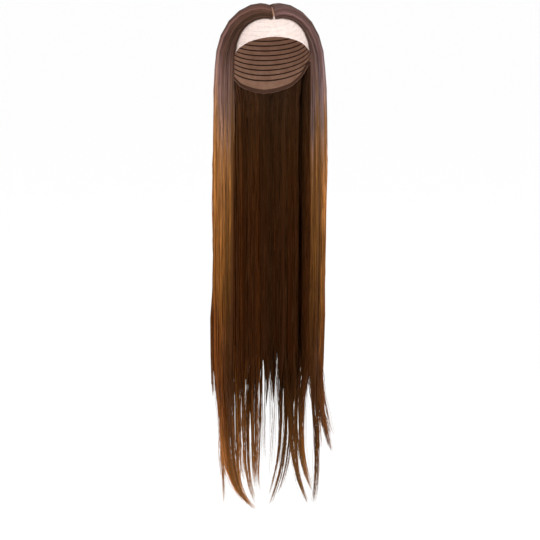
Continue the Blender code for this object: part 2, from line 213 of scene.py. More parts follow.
class Curtain:
    """The hair of one node: where a strand at a place across and a depth runs."""

    past_edge = 1.0

    def __init__(self, name, side, first, last):
        self.name, self.side, self.first, self.last = name, side, first, last
        rows = LOCKS[name]
        total = sum(r[0] for r in rows)
        self.locks, done, before = [], 0.0, rows[0][5]
        for r, fall in zip(rows, FALL[name]):
            half = r[0] / total / 2
            self.locks.append(dict(
                middle=done + half, half=half, notches=(-SPLIT * before, -SPLIT * r[5]),
                end=-DROP * r[1], across=r[2], ahead=r[3], late=r[4], bow=fall[0],
                loose=fall[1], core=fall[2], cut=fall[3], reach=[1.0, 1.0],
            ))
            done += 2 * half
            before = r[5]
        self.locks[0]["reach"][0] = self.locks[-1]["reach"][1] = self.past_edge

    def angle(self, u):
        return self.first + u * (self.last - self.first)

    def room(self, a, share):
        behind = smooth((a - EAR_A) / (NAPE_A - EAR_A) + 0.25)
        return NAPE_ROOM * behind * smooth((share - 0.75) / 0.25)

    def thickness(self, u, share, profile):
        a = self.angle(u)
        edge = EDGE_THIN + (FACE_THIN - EDGE_THIN) * smooth((share - 0.5) / 0.5)
        inward = smooth((a - FRONT_A) / (0.4 * (EAR_A - FRONT_A)))
        return DEPTH * profile * (edge + (1.0 - edge) * inward) - self.room(a, share)

    def on_head(self, u, shares):
        """(strand, share, xyz) inner guide and normals: a row of shares for each place u across."""
        a = self.angle(u)
        fan = (a - FRONT_A) / (BACK_A - FRONT_A)
        aside = PART_HALF + fan * fan * (CENTRE_GAP / 2 - PART_HALF)
        sx, sy = aside, HAIRLINE_Y + fan * (LACE_REACH - HAIRLINE_Y)
        end = outline(a)[0]
        f = 1.0 - (1.0 - np.linspace(0, 1, 81)) ** 2.5
        x = sx[:, None] + f * (end[:, None, 0] - sx[:, None])
        y = sy[:, None] + f * (end[:, None, 1] - sy[:, None])
        walk = over_head(x, y)
        walk[:, -1, 2] = 0.0
        step = np.linalg.norm(np.diff(walk, axis=1), axis=2)
        run = np.concatenate([np.zeros((len(u), 1)), np.cumsum(step, 1)], 1)
        out = np.empty((*shares.shape, 3))
        for i in range(len(u)):
            for k in range(3):
                out[i, :, k] = np.interp(shares[i] * run[i, -1], run[i], walk[i, :, k])
        room = self.room(a[:, None], shares)
        return head_surface(out, CAP_WALL + SEAT + room)

    def hanging(self, u, z):
        a = self.angle(u)
        point, normal = outline(a)
        point = point + normal * (CAP_WALL + SEAT + self.room(a, 1.0))[..., None]
        edge = smooth(1.0 - (a - FRONT_A) / (EAR_A - FRONT_A) * 1.4)
        point[..., 1] -= SWING * edge * smooth((-CROWN - z) / SWING_DROP)
        point[..., 2] = z
        return point, normal

    def layer(self, u, profile, outward, groove, lift):
        thick = self.thickness(u, 1.0, profile)
        return thick * (outward * (1.0 - groove) + (1.0 - outward) * lift)

    def head_points(self, u, shares, v, bulge):
        near, normal = self.on_head(u, shares)
        thick = self.thickness(u[:, None], shares, table(HEAD_PROFILE, shares))
        depth = thick * v * (1.0 - 0.20 * shares * bulge[:, None])
        return near + normal * depth[..., None]

    def hang_start(self):
        return -CROWN

    def hang_points(self, u, shares, notch, v, bulge):
        z = self.hang_start() + shares[None, :] * (notch[:, None] - self.hang_start())
        uu = np.broadcast_to(u[:, None], z.shape)
        near, normal = self.hanging(uu, z)
        profile = self.hang_profile(shares)[None, :]
        b = bulge[:, None]
        groove, lift = (0.20 + 0.16 * shares[None, :]) * b, 0.14 * shares[None, :] * b
        return near + normal * self.layer(uu, profile, v, groove, lift)[..., None]

    def hang_profile(self, shares):
        return table(HANG_PROFILE, shares)

    def tip_points(self, lock, a, shares, v, notch, loose):
        """Below the split: a is the strand's place across its lock, from -1 to 1."""
        w = table(TIP_PROFILE, shares, 1)[None, :]
        w = w + (1.0 - w) * loose
        thin = table(TIP_PROFILE, shares, 2)[None, :]
        thin = thin + (1.0 - thin) * loose * 0.7
        u = lock["middle"] + a[:, None] * lock["half"] * w
        z = notch[:, None] + shares[None, :] * (lock["end"] - notch[:, None])
        near, normal = self.hanging(u, z)
        profile = self.hang_profile(np.array([1.0]))[0]
        m = np.full_like(u, lock["middle"])
        b = (a**2)[:, None]
        heart = self.layer(m, profile, 0.5, 0.0, 0.0)
        depth = self.layer(m, profile, v, 0.36 * b, 0.14 * b)
        point = near + normal * (heart + (depth - heart) * thin)[..., None]
        drift = shares[None, :] ** lock["late"] * HALF_W
        bow = 4.0 * shares[None, :] * (1.0 - shares[None, :]) * HALF_W * lock["bow"]
        point[..., 0] += (drift * lock["across"] + bow) * self.side
        point[..., 1] -= drift * lock["ahead"]
        return point

    def strands(self, lock, a, v, head, hang, tip, loose=0.0):
        """(strand, point, xyz) for strands at places a across one lock and depths v.

        loose is how far the strands keep apart where the lock draws to its tip.
        """
        u = lock["middle"] + a * lock["half"]
        notch = lock["notches"][0] + (a + 1) / 2 * (lock["notches"][1] - lock["notches"][0])
        vv = v[:, None]
        rows = [
            self.head_points(u, np.broadcast_to(head, (len(u), len(head))), vv, a**2),
            self.hang_points(u, hang, notch, vv, a**2),
            self.tip_points(lock, a, tip, vv, notch, loose),
        ]
        p = np.concatenate(rows, 1)
        p[..., 0] *= self.side
        return lean(p)


class Nape(Curtain):
    """The inner layer, which starts on the nape of the cap and hangs inside the curtains."""

    past_edge = 1.45

    def top(self):
        return -CROWN - NAPE_TOP * NAPE

    def hang_start(self):
        return -CROWN - NAPE_HANGS * NAPE

    def on_cap(self, u, share):
        a = self.angle(u)
        ring, normal = outline(a)
        drop = self.top() + share * (self.hang_start() - self.top()) + CROWN
        closing = (1.0 - (-drop / NAPE) ** SQUARE) ** (1.0 / SQUARE)
        d = np.stack([ring[..., 0] * closing, ring[..., 1] * closing, np.broadcast_to(drop, a.shape)], -1)
        return head_surface(d, np.full(a.shape, CAP_WALL + SEAT))[0], normal

    def hanging(self, u, z):
        near, normal = self.on_cap(u, 1.0)
        near[..., 2] = z
        return near, normal

    def head_points(self, u, shares, v, bulge):
        uu = np.broadcast_to(u[:, None], shares.shape)
        near, normal = self.on_cap(uu, shares)
        room = (NAPE_ROOM - NAPE_GAP) * (0.45 + 0.45 * shares)
        return near + normal * (room * v * (1.0 - 0.2 * shares * bulge[:, None]))[..., None]

    def layer(self, u, profile, outward, groove, lift):
        room = (NAPE_ROOM - NAPE_GAP) * 0.9
        edge = 0.75 + 0.25 * smooth(4.0 * np.minimum(u, 1.0 - u))
        thick = room + (NAPE_DEPTH * edge - room) * profile
        return room - thick + thick * (outward * (1.0 - groove) + (1.0 - outward) * lift)

    def hang_profile(self, shares):
        return smooth(shares / 0.25)


ear = math.degrees(EAR_GAP / 2 / HALF_D)
centre = math.degrees(CENTRE_GAP / HALF_W)
CURTAINS = {
    "front_hair_left": Curtain("front_hair_left", -1, FRONT_A, EAR_A - ear),
    "front_hair_right": Curtain("front_hair_right", 1, FRONT_A, EAR_A - ear),
    "back_hair_left": Curtain("back_hair_left", -1, EAR_A + ear, BACK_A - centre),
    "back_hair_right": Curtain("back_hair_right", 1, EAR_A + ear, BACK_A - centre),
    "nape_hair": Nape("nape_hair", 1, 360.0 - NAPE_A, NAPE_A),
}


# Materials
def linear(rgb):
    """A colour in 0 to 255 as linear light."""
    c = np.asarray(rgb, float) / 255.0
    return np.where(c <= 0.04045, c / 12.92, ((c + 0.055) / 1.055) ** 2.4)


class Nodes:
    """A material and short ways to add to its nodes."""

    def __init__(self, name, rough, gloss, tint=None):
        self.material = bpy.data.materials.new(name)
        self.material.use_nodes = True
        self.tree = self.material.node_tree
        self.shader = self.tree.nodes["Principled BSDF"]
        self.shader.inputs["Roughness"].default_value = rough
        self.shader.inputs["Specular IOR Level"].default_value = gloss
        if tint is not None:
            self.shader.inputs["Specular Tint"].default_value = (*tint, 1.0)

    def add(self, kind, inputs=(), **settings):
        node = self.tree.nodes.new("ShaderNode" + kind)
        for key, value in settings.items():
            setattr(node, key, value)
        for key, value in dict(inputs).items():
            if isinstance(value, bpy.types.NodeSocket):
                self.tree.links.new(value, node.inputs[key])
            else:
                node.inputs[key].default_value = value
        return node

    def attribute(self, name, output):
        return self.add("Attribute", attribute_name=name).outputs[output]

    def remap(self, value, low, high, to_low, to_high):
        node = self.add("MapRange", {
            "Value": value, "From Min": low, "From Max": high,
            "To Min": to_low, "To Max": to_high,
        })
        return node.outputs["Result"]

    def scale(self, vector, factor):
        return self.add("VectorMath", {0: vector, "Scale": factor}, operation="SCALE").outputs["Vector"]

    def blend(self, factor, first, second):
        node = self.add("Mix", data_type="RGBA")
        for key, value in ((0, factor), (6, first), (7, second)):
            if isinstance(value, bpy.types.NodeSocket):
                self.tree.links.new(value, node.inputs[key])
            else:
                node.inputs[key].default_value = value if key == 0 else (*value, 1.0)
        return node.outputs[2]

    def colour(self, socket):
        self.tree.links.new(socket, self.shader.inputs["Base Color"])

    def bump(self, height, distance, strength):
        node = self.add("Bump", {"Height": height, "Distance": distance, "Strength": strength})
        self.tree.links.new(node.outputs["Normal"], self.shader.inputs["Normal"])


def strand_material():
    """The strands: their colour is in the mesh, one shade for each, with painted glints (painted
    highlights) from noise along them.
    """
    n = Nodes("hair_strands", 0.38, 0.30, (1.0, 0.56, 0.28))
    stretch = {0: n.attribute("flow", "Vector"), 1: GLINT_STRETCH}
    flow = n.add("VectorMath", stretch, operation="MULTIPLY")
    noise = n.add("TexNoise", {"Vector": flow.outputs["Vector"], "Scale": 1.0, "Detail": 2.0})
    # painted glints: noise along each strand blends it between a darker shade and a painted highlight
    glint = n.remap(noise.outputs["Fac"], 0.32, 0.72, 0.0, 1.0)
    tint = n.attribute("tint", "Color")
    painted_light = n.add("VectorMath", {0: n.scale(tint, 1.12), 1: GLINT}, operation="ADD").outputs["Vector"]
    n.colour(n.blend(glint, n.scale(tint, 0.74), painted_light))
    return n.material


def mass_material():
    """The hair under the strands: fine streaks run down it."""
    n = Nodes("hair_mass", 0.55, 0.20, (1.0, 0.66, 0.42))
    noise = n.add("TexNoise", {"Vector": n.attribute("flow", "Vector"), "Scale": 1.0, "Detail": 3.0})
    streak = n.remap(noise.outputs["Fac"], 0.3, 0.7, 0.45, 1.25)
    n.colour(n.scale(n.attribute("tint", "Color"), streak))
    n.bump(noise.outputs["Fac"], 0.0008, 0.6)
    return n.material


def net_material():
    """The bare lace: pale threads, a little uneven."""
    n = Nodes("lace_net", 0.82, 0.25)
    noise = n.add("TexNoise", {"Vector": n.attribute("cloth", "Vector"), "Scale": 0.35, "Detail": 4.0})
    mottle = n.remap(noise.outputs["Fac"], 0.3, 0.7, 0.0, 1.0)
    n.colour(n.blend(mottle, linear(LACE_DEEP), linear(LACE_PALE)))
    n.bump(noise.outputs["Fac"], 0.0002, 0.2)
    return n.material


def ground_material():
    """The lace that the hair is tied to: the net's cells, and a dark knot for each tuft."""
    n = Nodes("lace_knotted", 0.85, 0.2)
    cloth = n.attribute("cloth", "Vector")
    cells = n.add("TexVoronoi", {"Vector": cloth, "Scale": 0.9, "Randomness": 0.35})
    holes = n.remap(cells.outputs["Distance"], 0.18, 0.42, 0.0, 1.0)
    knots = n.add("TexVoronoi", {"Vector": cloth, "Scale": 0.55, "Randomness": 0.7})
    knot = n.remap(knots.outputs["Distance"], 0.16, 0.40, 0.9, 0.0)
    base = n.blend(holes, linear((150, 104, 80)), linear((214, 166, 140)))
    n.colour(n.blend(knot, base, linear((66, 42, 32))))
    n.bump(cells.outputs["Distance"], 0.0004, 0.7)
    return n.material


def cap_material():
    """The stretch net of the cap: small cells between ribs that run from front to back."""
    n = Nodes("cap_net", 0.88, 0.2)
    cloth = n.attribute("cloth", "Vector")
    cells = n.add("TexVoronoi", {"Vector": cloth, "Scale": 0.75, "Randomness": 0.25})
    holes = n.remap(cells.outputs["Distance"], 0.16, 0.40, 0.0, 1.0)
    cloud = n.add("TexNoise", {"Vector": cloth, "Scale": 0.06, "Detail": 2.0})
    mottle = n.remap(cloud.outputs["Fac"], 0.3, 0.7, 0.0, 1.0)
    warm = n.blend(mottle, linear((176, 134, 110)), linear((196, 154, 130)))
    n.colour(n.blend(holes, linear((112, 80, 64)), warm))
    n.bump(cells.outputs["Distance"], 0.0005, 0.8)
    return n.material


def tape_material(name, dark, pale, along, across):
    """Woven tape and stitching: ribs along and across it."""
    n = Nodes(name, 0.8, 0.25)
    cloth = n.attribute("cloth", "Vector")
    ribs = n.add("TexWave", {"Vector": cloth, "Scale": along, "Distortion": 0.6}, bands_direction="X")
    rows = n.add("TexWave", {"Vector": cloth, "Scale": across, "Distortion": 0.4}, bands_direction="Y")
    both = n.add("Math", {0: ribs.outputs["Fac"], 1: rows.outputs["Fac"]}, operation="MULTIPLY")
    n.colour(n.blend(both.outputs["Value"], linear(dark), linear(pale)))
    n.bump(both.outputs["Value"], 0.0004, 0.6)
    return n.material


# Colours
# what painted glints (painted highlights) add to a strand, and how often they come across and along it
GLINT, GLINT_STRETCH = (0.024, 0.014, 0.006), (1.0, 22.0, 1.0)
LACE_PALE, LACE_DEEP = (236, 220, 213), (229, 209, 201)
# height as a share of the drop, then the hair's colour on the outside of the curtain: dark roots to
# caramel, the lower lengths darker partly as chestnut hair and partly as painted shade where the light
# falls off, and the thin ends paler with painted light shining through them
OUTSIDE = [
    (-0.01, (70, 42, 34)), (0.05, (76, 48, 40)), (0.09, (96, 68, 60)), (0.15, (114, 84, 70)),
    (0.19, (122, 88, 62)), (0.24, (118, 77, 38)), (0.40, (112, 69, 26)), (0.50, (98, 57, 14)),
    (0.62, (74, 34, 2)), (0.78, (80, 39, 4)), (0.88, (116, 68, 22)), (1.02, (150, 100, 50)),
]
# the same on the inside, darker all the way down with painted shade, and paler at the thin ends with
# painted light through them
INSIDE = [
    (-0.01, (56, 34, 27)), (0.12, (60, 36, 26)), (0.20, (68, 38, 18)), (0.30, (70, 35, 9)),
    (0.45, (68, 29, 4)), (0.76, (68, 30, 3)), (0.87, (122, 72, 26)), (1.02, (160, 108, 56)),
]
# place across a front curtain, and how much brighter painted light makes its hair there
# (share, left, right)
PAINTED_LIGHT_ACROSS = np.array([
    (0.00, 1.00, 0.95), (0.04, 1.05, 0.95), (0.09, 1.50, 1.10), (0.25, 2.10, 1.70), (0.40, 2.40, 2.30),
    (1.00, 1.70, 1.70),
])
# how much brighter painted light makes the back curtains and the nape
BACK_PAINTED_LIGHT = 1.30
# painted light on the inside of the back and nape, on the left and on the right: lighter on the left,
# darker with painted shade on the right
INSIDE_LIT = (1.40, 0.65)
# soft bands of painted sheen (painted highlight) on the front curtains: height, width, gain on the face,
# gain outside
PAINTED_SHEEN = {
    -1: [(0.270, 0.060, 0.80, 0.0), (0.360, 0.060, 0.15, 0.0)],
    1: [(0.265, 0.060, 0.35, 0.0), (0.345, 0.055, 0.10, 0.55)],
}
# how much paler the hair grows where painted light brightens it most, and how much darker the face grows
# below the shoulder
PALER, FACE_FALL = 0.04, 0.22
# the crown catches a cooler light, more so on the right
COOL = {-1: np.array([1.00, 1.15, 1.40]), 1: np.array([1.35, 1.85, 2.60])}
# how far the colour of the face of a front curtain lags behind that of its outside
INNER_LAG = 0.055


def hair_colour(z, v, side=0):
    """Linear colour by height and by depth in the curtain, 1 on the outside; deeper hair takes the inside's
    painted shade.
    """
    s = -z / DROP
    out = []
    for rows in (OUTSIDE, INSIDE):
        at = [r[0] for r in rows]
        cols = np.array([linear(r[1]) for r in rows])
        out.append(np.stack([np.interp(s, at, cols[:, k]) for k in range(3)], -1))
    if side:
        out[0] = out[0] * (1.0 + (COOL[side] - 1.0) * smooth((0.17 - s) / 0.08)[..., None])
    return out[1] + (out[0] - out[1]) * np.asarray(v)[..., None]


# Mesh makers
def mesh_object(name, verts, faces, mats, tint=None, uv=None, which=None, **vectors):
    """A piece from arrays. faces is a list of index arrays, of quads or of triangles."""
    me = bpy.data.meshes.new(name)
    verts = np.asarray(verts, np.float32)
    me.vertices.add(len(verts))
    me.vertices.foreach_set("co", verts.ravel())
    corners = np.concatenate([np.asarray(f, np.int32).ravel() for f in faces])
    sizes = np.concatenate([np.full(len(f), f.shape[1], np.int32) for f in faces])
    me.loops.add(len(corners))
    me.loops.foreach_set("vertex_index", corners)
    me.polygons.add(len(sizes))
    me.polygons.foreach_set("loop_start", np.concatenate([[0], np.cumsum(sizes)[:-1]]).astype(np.int32))
    me.update(calc_edges=True)
    if tint is not None:
        layer = me.attributes.new("tint", "FLOAT_COLOR", "POINT")
        rgba = np.ones((len(verts), 4), np.float32)
        rgba[:, :3] = tint
        layer.data.foreach_set("color", rgba.ravel())
    for key, value in vectors.items():
        layer = me.attributes.new(key, "FLOAT_VECTOR", "POINT")
        layer.data.foreach_set("vector", np.asarray(value, np.float32).ravel())
    if uv is not None:
        layer = me.uv_layers.new(name="OFBake")
        layer.data.foreach_set("uv", np.asarray(uv, np.float32)[corners].ravel())
    for mat in mats:
        me.materials.append(mat)
    if which is not None:
        me.polygons.foreach_set("material_index", np.asarray(which, np.int32))
    me.validate()
    me.shade_smooth()
    ob = bpy.data.objects.new(name, me)
    bpy.context.scene.collection.objects.link(ob)
    return ob


def tubes(paths, radii, roll, sides=3):
    """Closed tubes along (strand, point, xyz) paths."""
    n, m, _ = paths.shape
    tangent = unit(np.gradient(paths, axis=1))
    ref = np.zeros((n, 3))
    ref[:, 1] = 1.0
    ref[np.abs((tangent[:, 0] * ref).sum(-1)) > 0.9] = (1.0, 0.0, 0.0)
    side = np.empty_like(paths)
    side[:, 0] = unit(np.cross(tangent[:, 0], ref))
    for i in range(1, m):
        turned = (side[:, i - 1] * tangent[:, i]).sum(-1, keepdims=True)
        side[:, i] = unit(side[:, i - 1] - turned * tangent[:, i])
    up = np.cross(side, tangent)
    verts = np.empty((n, m, sides, 3))
    for k in range(sides):
        t = roll[:, None, None] + k * 2 * math.pi / sides
        verts[:, :, k] = paths + radii[..., None] * (np.cos(t) * side + np.sin(t) * up)
    base = (np.arange(n)[:, None, None] * m + np.arange(m - 1)[None, :, None]) * sides
    k = np.arange(sides)[None, None, :]
    nxt = (k + 1) % sides
    quads = np.stack([base + k, base + nxt, base + sides + nxt, base + sides + k], -1).reshape(-1, 4)
    first = np.arange(n)[:, None] * m * sides
    last = first + (m - 1) * sides
    ring = np.arange(sides)[None, :]
    caps = np.concatenate([first + ring[:, ::-1], last + ring])
    return verts.reshape(-1, 3), [quads, caps]


# Hair
# where a strand's points lie over the head, down to the split, and below it
HEAD_AT = np.array([0.0, 0.06, 0.14, 0.26, 0.40, 0.55, 0.71, 0.88])
HANG_AT = np.array([0.02, 0.10, 0.20, 0.31, 0.43, 0.55, 0.67, 0.79, 0.90])
TIP_AT = np.array([0.0, 0.18, 0.36, 0.54, 0.71, 0.87, 1.0])
ALONG = np.concatenate([np.zeros(len(HEAD_AT)), 0.35 * HANG_AT, 0.35 + 0.65 * TIP_AT])
# how far the strands that keep to themselves stay apart, and how long the mass draws in to its end
FREE, MASS_TAPER = 0.9, 0.080
# big clumps across a curtain, strands in a small one, shares of small ones within the curtain and
# on a lock's edge, and the share of strands that keep to themselves
BIG_ACROSS, SMALL_HOLDS, WITHIN, ON_EDGE, ALONE = 11, 9, 0.12, 0.08, 0.05
# how hard strands draw to their small clump and small clumps to their big one, and how much less
# they do so in a loose lock
SMALL_DRAW, BIG_DRAW, LOOSE_DRAW = 0.85, 0.80, 0.40
# the waves of small clumps and the drift of big ones, in x and y, and the share of stray strands
SMALL_WAVE, BIG_DRIFT, STRAY = np.array([0.0012, 0.0012]), np.array([0.0042, 0.0036]), 0.035
# unevenness from point to point, of a small clump and of a strand
WOBBLE = (0.0011, 0.0005)
# a strand's radius along its length, a root hair's, and the strands in the wisp
EVEN = np.linspace(0, 1, len(ALONG))
STRAND_RADIUS = np.interp(EVEN, [0, 0.1, 0.7, 0.88, 1.0], [0.00026, 0.00042, 0.00042, 0.00030, 0.00008])
ROOT_RADIUS = np.interp(EVEN, [0, 0.5, 1.0], [0.0001, 0.00026, 0.00012])
WISP = 16


def cut_to(p, stops, first):
    """Strands whose points from first on are spread anew, so that each ends at its own height."""
    z = p[:, first:, 2].copy()
    levels = (z[:, :1] - z) / (z[:, :1] - z[:, -1:])
    new = z[:, :1] + levels * (np.maximum(stops, z[:, -1]) - z[:, 0])[:, None]
    for i in range(len(p)):
        for k in range(2):
            p[i, first:, k] = np.interp(-new[i], -z[i], p[i, first:, k])
    p[:, first:, 2] = new


def clumped(curtain, lock, n, outer, face, rng):
    """Strands of one lock: big clumps hold small ones, and both draw together to their ends."""
    big = max(2, int(round(lock["half"] * 2 * BIG_ACROSS)))
    big_a = -1 + (2 * np.arange(big) + 1) / big + rng.uniform(-0.5, 0.5, big) / big
    small = max(8, int(n / SMALL_HOLDS))
    small_a = np.sort(rng.uniform(-lock["reach"][0], lock["reach"][1], small))
    outside = rng.random(small) < outer
    near_out = 1.0 - 0.13 * rng.random(small) ** 1.5
    near_in = 0.13 * rng.random(small)
    small_v = np.where(outside, near_out, near_in)
    small_v = np.where(rng.random(small) < WITHIN, rng.uniform(0.15, 0.85, small), small_v)
    edge = rng.random(small) < ON_EDGE + face
    which_edge = np.sign(rng.random(small) - 0.5 - face)
    small_a = np.where(edge, which_edge * rng.uniform(0.93, 1.0, small), small_a)
    small_v = np.where(edge, rng.uniform(0, 1, small), small_v)
    owner = np.abs(small_a[:, None] - big_a[None, :]).argmin(1)
    which = rng.integers(0, small, n)
    a = np.clip(small_a[which] + rng.normal(0, 0.06, n), -lock["reach"][0], lock["reach"][1])
    v = np.clip(small_v[which] + rng.normal(0, 0.035, n), -0.01, 1.03)
    at = (HEAD_AT, HANG_AT, TIP_AT, lock["loose"])
    p = curtain.strands(lock, a, v, *at)
    small_p = curtain.strands(lock, small_a, small_v, *at)
    big_p = curtain.strands(lock, big_a, np.full(big, 0.5), *at)
    low = -p[..., 2:]
    free = (rng.random(n) < ALONE)[:, None, None]
    drawn = p + (small_p[which] - p) * SMALL_DRAW * smooth((low - 0.25) / 0.45)
    tight = BIG_DRAW - LOOSE_DRAW * lock["loose"]
    drawn = drawn + (big_p[owner][which] - small_p[which]) * tight * smooth((low - 0.66) / 0.14)
    p = np.where(free, curtain.strands(lock, a, v, HEAD_AT, HANG_AT, TIP_AT, FREE), drawn)
    phase, turns = rng.uniform(0, 6.3, (small, 2)), rng.uniform(2.0, 5.0, (small, 2))
    reach = rng.normal(0, 1, (small, 2)) * SMALL_WAVE
    drift = rng.normal(0, 1, (big, 2)) * BIG_DRIFT
    stray = np.where(rng.random(n) < STRAY, rng.normal(0, 0.0045, n), rng.normal(0, 0.0004, n))
    wobble = rng.normal(0, WOBBLE[0], (small, len(ALONG), 2))[which]
    wobble = wobble + rng.normal(0, WOBBLE[1], (n, len(ALONG), 2))
    for k in range(2):
        wave = np.sin(turns[which, k][:, None] * ALONG + phase[which, k][:, None])
        p[..., k] += reach[which, k][:, None] * wave * smooth(ALONG / 0.5)
        p[..., k] += drift[owner[which], k][:, None] * smooth((ALONG - 0.40) / 0.6) ** 1.3
        wave = np.sin(rng.uniform(3, 7, n)[:, None] * ALONG + rng.uniform(0, 6.3, n)[:, None])
        p[..., k] += stray[:, None] * wave * smooth(ALONG / 0.4)
        p[..., k] += wobble[..., k] * smooth((-p[..., 2] - 0.10) / 0.12)
    p[:, 0, 0] += curtain.side * 0.0005 * rng.normal(0.6, 1.0, n)
    if curtain.name.startswith("back"):
        back = p[:, 0, 1].copy()
        p[:, 0, 1] -= rng.uniform(0, 0.010, n)
        p[:, 0, 2] += (over_head(p[:, 0, 0], p[:, 0, 1]) - over_head(p[:, 0, 0], back))[:, 2]
    longest = rng.uniform(0.92, 1.0, big)
    longest[big // 2] = 1.0
    keep = (1.0 - 0.30 * rng.beta(1.0, 2.2, n)) * longest[owner[which]]
    notch = lock["notches"][0] + (a + 1) / 2 * (lock["notches"][1] - lock["notches"][0])
    early = lock["cut"] - 0.09 * rng.random(n) + rng.normal(0, 0.015, small)[which]
    core = rng.random(n) < lock["core"]
    cut_to(p, np.where(core, notch + keep * (lock["end"] - notch), -DROP * early), len(HEAD_AT))
    shade = rng.normal(0, 0.13, small)[which] + rng.normal(0, 0.13, n)
    shade = shade + rng.normal(0, 0.12, big)[owner[which]]
    ahead = rng.normal(0, 0.030, small)[which] + rng.normal(0, 0.012, n)
    crown = rng.normal(0, 0.30, big)[owner[which]] + rng.normal(0, 0.36, small)[which]
    u = lock["middle"] + a * lock["half"]
    place = which * 1.7 + rng.normal(0, 0.16, n)
    return dict(p=p, v=v[:, None], u=u[:, None], shade=shade, ahead=ahead, crown=crown, place=place)


def root_hairs(curtain, n, rng):
    """Short hairs tied in front of the hairline, which sweep back into the curtain."""
    m = len(ALONG)
    t = np.linspace(0, 1, m)[None, :]
    start = rng.uniform(0.0, 0.86, n)[:, None]
    run = np.minimum(rng.uniform(0.16, 0.40, n)[:, None], 1.0 - start)
    shares = start + run * t
    ahead = -0.030 * rng.random(n)[:, None] ** 1.6
    into = rng.uniform(0.0, 0.10, n)[:, None]
    u = ahead + (into - ahead) * smooth(t * 1.1)
    v = 0.04 + rng.uniform(0.5, 1.0, n)[:, None] * smooth(t / 0.7)
    near = np.empty((n, m, 3))
    for j in range(m):
        p, normal = curtain.on_head(u[:, j], shares[:, j:j + 1])
        share = shares[:, j:j + 1]
        thick = curtain.thickness(u[:, j:j + 1], share, table(HEAD_PROFILE, share))
        low = -0.0010 * (1.0 - smooth(t[0, j] / 0.25))
        near[:, j] = (p + normal * (thick * v[:, j:j + 1] + low)[..., None])[:, 0]
    near[..., 0] *= curtain.side
    flat = np.zeros(n)
    shade = rng.normal(0.0, 0.15, n)
    place = rng.uniform(0, 90, n)
    return dict(p=lean(near), v=v, u=u, shade=shade, ahead=flat, crown=flat, place=place)


def outer_wisp(curtain, lock, n, rng):
    """A thin wisp that has come away from the outside of a lock and ends above the rest."""
    a, v = rng.uniform(-0.9, -0.3, n), rng.uniform(0.95, 1.05, n)
    p = curtain.strands(lock, a, v, HEAD_AT, HANG_AT, TIP_AT * 0.10)
    away = rng.normal(0.0058, 0.0009, n)[:, None] * smooth((-p[..., 2] - 0.46) / 0.14)
    middle = p.mean(0, keepdims=True)
    p = p + (middle - p) * 0.6 * smooth((-p[..., 2:] - 0.40) / 0.15)
    p[..., 0] += curtain.side * away
    p[:, -7:, 2] += rng.uniform(0.0, 0.03, n)[:, None] * np.linspace(0, 1, 7)
    u, flat = np.full((n, 1), lock["middle"]), np.zeros(n)
    shade = rng.normal(0.0, 0.2, n)
    place = rng.uniform(0, 9, n)
    return dict(p=p, v=v[:, None], u=u, shade=shade, ahead=flat, crown=flat, place=place)


